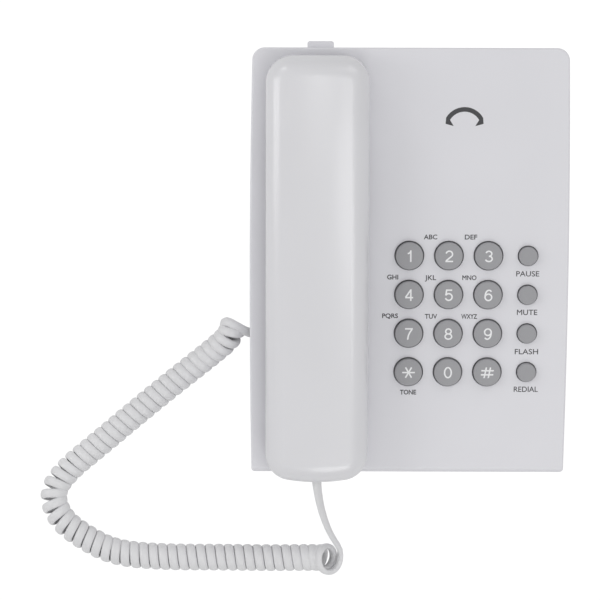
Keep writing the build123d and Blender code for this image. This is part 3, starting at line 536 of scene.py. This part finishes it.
SIX = [arc(0.0, -0.95, 1.6, 1.58, 0, 360), arc(0.25, -0.6, 1.85, 3.1, 50, 186)]
DIGITS = {
    "0": [arc(0.0, 0.0, 1.6, 2.5, 0, 360)],
    "1": [[(-0.95, 1.25), (-0.2, 1.4), (0.2, 1.75), (0.42, 2.3)], [(0.55, 2.85), (0.55, -2.85)]],
    "2": [[*arc(0.0, 0.98, 1.55, 1.52, 168, -32), (-1.5, -2.2)], [(-1.9, -2.5), (1.85, -2.5)]],
    "3": [arc(-0.05, 1.28, 1.4, 1.22, 165, -90), arc(-0.05, -1.2, 1.62, 1.3, 90, -165)],
    "4": [[(0.72, 2.6), (-1.7, -1.0)], [(-1.95, -1.2), (1.85, -1.2)], [(0.75, 2.85), (0.75, -2.85)]],
    "5": [
        [(-1.4, 2.48), (1.6, 2.48)],
        [(-1.12, 2.3), (-1.45, -0.1)],
        arc(-0.05, -0.85, 1.62, 1.65, 142, -162),
    ],
    "6": SIX,
    "7": [[(-1.9, 2.48), (1.85, 2.48)], [(1.5, 2.3), (0.35, 0.6), (-0.3, -1.0), (-0.6, -2.85)]],
    "8": [arc(0.0, 1.27, 1.32, 1.23, 0, 360), arc(0.0, -1.2, 1.6, 1.3, 0, 360)],
    "9": [[(-x, -y) for x, y in stroke] for stroke in SIX],
}


FOLDED_BACK = 0.2  # sum of two outline normals under which a corner has no clear outside
CORNER_REACH = 1.6  # most that a sharp corner moves, in widenings


def widen(sheet, by):
    """Moves a flat sheet's outline outward in its own plane by so many millimetres."""
    shifts = []
    for vertex in sheet.verts:
        total = Vector()
        sides = []
        for edge in vertex.link_edges:
            if len(edge.link_faces) != 1:
                continue
            start, end = (corner.co for corner in edge.verts)
            across = Vector((end.y - start.y, start.x - end.x, 0)).normalized()
            if across.dot(edge.link_faces[0].calc_center_median() - (start + end) / 2) > 0:
                across = -across
            sides.append(across)
            total += across
        if len(sides) == 2 and total.length > FOLDED_BACK:
            middle = total.normalized()
            shifts.append((vertex, middle * by * min(1 / middle.dot(sides[0]), CORNER_REACH)))
    for vertex, shift in shifts:
        vertex.co += shift


def text_sheet(words, width, height, widening=0.0):
    """Flat glyphs of Blender's own font as a bmesh, centred and scaled to millimetres."""
    curve = bpy.data.curves.new("text", "FONT")
    curve.body = words
    curve.resolution_u = 4
    holder = bpy.data.objects.new("text", curve)
    mesh = bpy.data.meshes.new_from_object(holder)
    sheet = bmesh.new()
    sheet.from_mesh(mesh)
    bpy.data.meshes.remove(mesh)
    bpy.data.objects.remove(holder)
    bpy.data.curves.remove(curve)
    bmesh.ops.remove_doubles(sheet, verts=sheet.verts, dist=1e-5)
    places = np.array([vertex.co for vertex in sheet.verts])
    low = places.min(0)
    high = places.max(0)
    tall = height / (high[1] - low[1])
    wide = width / (high[0] - low[0]) if width else tall
    for vertex in sheet.verts:
        vertex.co.x = (vertex.co.x - (low[0] + high[0]) / 2) * wide
        vertex.co.y = (vertex.co.y - (low[1] + high[1]) / 2) * tall
        vertex.co.z = 0
    if widening:
        widen(sheet, widening)
    return sheet


def stroke_sheet(strokes):
    """Flat ribbons of the stroke's width along lines of points; each lies a little higher than the last."""
    sheet = bmesh.new()
    for layer, points in enumerate(strokes):
        line = np.array(points, float)
        reach = distance_along(line)
        places = np.linspace(0, reach[-1], max(int(reach[-1] / STROKE_STEP), 2) + 1)
        line = np.stack([np.interp(places, reach, line[:, axis]) for axis in range(2)], 1)
        closed = np.allclose(line[0], line[-1])
        if closed:
            line = line[:-1]
            along = unit(np.roll(line, -1, 0) - np.roll(line, 1, 0))
        else:
            along = tangents(line)
        across = np.stack([-along[:, 1], along[:, 0]], 1) * STROKE / 2
        left, right = (
            [sheet.verts.new((*place, layer * LAYER)) for place in side]
            for side in (line + across, line - across)
        )
        for i in range(len(line) if closed else len(line) - 1):
            nxt = (i + 1) % len(line)
            sheet.faces.new((left[i], right[i], right[nxt], left[nxt]))
    return sheet


def star_sheet():
    """A six-armed star with a longer level bar."""
    sheet = bmesh.new()
    half = STROKE / 2
    inner = half / math.sin(math.pi / 6)
    corners = []
    for arm in range(6):
        angle = arm * math.pi / 3
        reach = 3.05 if arm % 3 == 0 else 2.95
        along = Vector((math.cos(angle), math.sin(angle), 0))
        across = Vector((-along.y, along.x, 0))
        before = Matrix.Rotation(-math.pi / 6, 3, "Z") @ along
        corners += [before * inner, along * reach - across * half, along * reach + across * half]
    rim = [sheet.verts.new(corner) for corner in corners]
    middle = sheet.verts.new((0, 0, 0))
    for i, vertex in enumerate(rim):
        sheet.faces.new((middle, vertex, rim[(i + 1) % len(rim)]))
    return sheet


def hash_sheet():
    """Two level bars crossed by two slanted ones."""
    sheet = bmesh.new()
    half = STROKE / 2
    bars = [-1.0, 1.0]
    cuts = sorted(bar + side for bar in bars for side in (-half, half))
    across = [-3.0, *cuts, 3.0]
    up = [-2.65, *cuts, 2.65]
    corners = {(i, j): None for i in range(6) for j in range(6)}
    for i in range(5):
        for j in range(5):
            if i % 2 == 1 or j % 2 == 1:
                face = []
                for a, b in ((i, j), (i + 1, j), (i + 1, j + 1), (i, j + 1)):
                    if corners[a, b] is None:
                        lean = 0.2 * up[b] if 0 < a < 5 else 0.1 * up[b]
                        corners[a, b] = sheet.verts.new((across[a] + lean, up[b], 0))
                    face.append(corners[a, b])
                sheet.faces.new(face)
    return sheet


SIGN_OUTER_R = 10.2
SIGN_INNER_R = 8.0
SIGN_DROP = 5.6  # of the arcs' centre below the sign's middle
SIGN_STEPS = 14


def handset_sheet():
    """A small plain handset sign."""
    sheet = bmesh.new()
    outer = []
    inner = []
    for i in range(SIGN_STEPS + 1):
        angle = math.radians(150 - 120 * i / SIGN_STEPS)
        for row, radius in ((outer, SIGN_OUTER_R), (inner, SIGN_INNER_R)):
            row.append((radius * math.cos(angle), radius * math.sin(angle) - SIGN_DROP))
    rows = [[sheet.verts.new((*place, 0)) for place in row] for row in (outer, inner)]
    for i in range(SIGN_STEPS):
        sheet.faces.new((rows[0][i + 1], rows[0][i], rows[1][i], rows[1][i + 1]))
    for end, side in ((0, -1), (SIGN_STEPS, 1)):
        a = rows[0][end].co
        b = rows[1][end].co
        drop = Vector((side * 0.2, -2.9, 0))
        wide = Vector((side * -2.0, 0, 0))
        corners = [rows[0][end], sheet.verts.new(a + drop), sheet.verts.new(b + drop + wide), rows[1][end]]
        face = sheet.faces.new(corners if side < 0 else corners[::-1])
        face.normal_update()
    return sheet


def cut_up(sheet, step):
    """Adds edges across the flat sheet so that it can follow a curved surface."""
    for normal in ((1, 0, 0), (0, 1, 0)):
        for i in range(-8, 9):
            everything = [*sheet.verts, *sheet.edges, *sheet.faces]
            place = Vector(normal) * (i * step + 0.013)
            bmesh.ops.bisect_plane(sheet, geom=everything, plane_co=place, plane_no=normal, dist=1e-4)


def thick_object(name, sheet, matrix, height, depth=0.12):
    """A closed thin solid from flat sheets: top at height(x, y), in millimetres above the face."""
    top = list(sheet.faces)
    made = bmesh.ops.extrude_face_region(sheet, geom=top)["geom"]
    raised = {item for item in made if isinstance(item, bmesh.types.BMVert)}
    for vertex in sheet.verts:
        vertex.co.z += height(vertex.co.x, vertex.co.y) - (0 if vertex in raised else depth)
    bmesh.ops.recalc_face_normals(sheet, faces=sheet.faces)
    bmesh.ops.scale(sheet, vec=(MM, MM, MM), verts=sheet.verts)
    mesh = bpy.data.meshes.new(name)
    sheet.to_mesh(mesh)
    sheet.free()
    mesh.transform(matrix)
    return add_object(name, mesh)


def joined(sheets):
    """One sheet from (sheet, right, up), each moved along the face."""
    whole = bmesh.new()
    for sheet, right, up in sheets:
        bmesh.ops.translate(sheet, vec=(right, up, 0), verts=sheet.verts)
        mesh = bpy.data.meshes.new("part")
        sheet.to_mesh(mesh)
        sheet.free()
        whole.from_mesh(mesh)
        bpy.data.meshes.remove(mesh)
    return whole


PRINT_HEIGHT = 0.03  # of the ink above what it is printed on
MARK_OFFSET = (0.05, -0.23)  # of a mark's middle from its key's


def key_height(x, y):
    """Height of the printed mark above the face, following the key's crown."""
    away = (x + MARK_OFFSET[0]) ** 2 + (y + MARK_OFFSET[1]) ** 2
    return KEY_TOP - KEY_CROWN * away / KEY_CROWN_R**2 + PRINT_HEIGHT


def make_digits(white):
    sheets = {key: stroke_sheet(strokes) for key, strokes in DIGITS.items()}
    sheets["star"] = star_sheet()
    sheets["hash"] = hash_sheet()
    for key, sheet in sheets.items():
        if key in ("star", "hash"):
            cut_up(sheet, 0.5)
        made = thick_object(f"print_{key}", sheet, face_matrix(f"key_{key}", *MARK_OFFSET), key_height)
        made.data.materials.append(white)
        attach(made, f"key_{key}")


# words: key, (right, up) from the key's middle, (width, height with any tail), widening of the outline
LEGENDS = {
    "ABC": ("key_2", (-8.9, 8.7), (6.3, 2.2), 0.065),
    "DEF": ("key_3", (-8.5, 8.7), (5.8, 2.2), 0.065),
    "GHI": ("key_4", (-7.9, 8.1), (5.2, 2.2), 0.085),
    "JKL": ("key_5", (-8.7, 7.5), (5.3, 3.0), 0.065),
    "MNO": ("key_6", (-9.0, 7.9), (6.7, 2.2), 0.065),
    "PQRS": ("key_7", (-9.0, 7.95), (7.5, 2.5), 0.085),
    "TUV": ("key_8", (-8.3, 7.9), (5.8, 2.2), 0.065),
    "WXYZ": ("key_9", (-8.9, 7.9), (7.5, 2.2), 0.065),
    "TONE": ("key_star", (0.0, -10.4), (7.7, 2.2), 0.085),
    "PAUSE": ("key_pause", (0.0, -9.0), (11.0, 2.55), 0.035),
    "MUTE": ("key_mute", (0.0, -8.9), (9.75, 2.55), 0.035),
    "FLASH": ("key_flash", (0.0, -9.2), (11.2, 2.55), 0.035),
    "REDIAL": ("key_redial", (0.0, -8.8), (11.6, 2.55), 0.035),
}
SIGN_AT = (6.7, 66.5)  # of the handset sign, from the middle of key 2


def make_legends(dark):
    base = face_matrix("key_5")
    inward = base.inverted()
    sheets = []
    for words, (key, offset, size, widening) in LEGENDS.items():
        spot = inward @ face_matrix(key).translation
        sheet = text_sheet(words, *size, widening)
        sheets.append((sheet, spot.x / MM + offset[0], spot.y / MM + offset[1]))
    made = thick_object("print_legends", joined(sheets), base, lambda x, y: PRINT_HEIGHT)
    made.data.materials.append(dark)
    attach(made, "base")
    place = face_matrix("key_2", *SIGN_AT)
    sign = thick_object("print_sign", handset_sheet(), place, lambda x, y: PRINT_HEIGHT)
    sign.data.materials.append(dark)
    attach(sign, "base")


make_camera()
cord = make_cord()
make_lights()
make_floor()
slots = make_slots()
apply_materials(slots)
cord.data.materials.append(slots["cord"].material)
make_digits(ink("ink_white", (0.85, 0.85, 0.86)))
make_legends(ink("ink_dark", (0.055, 0.055, 0.06)))
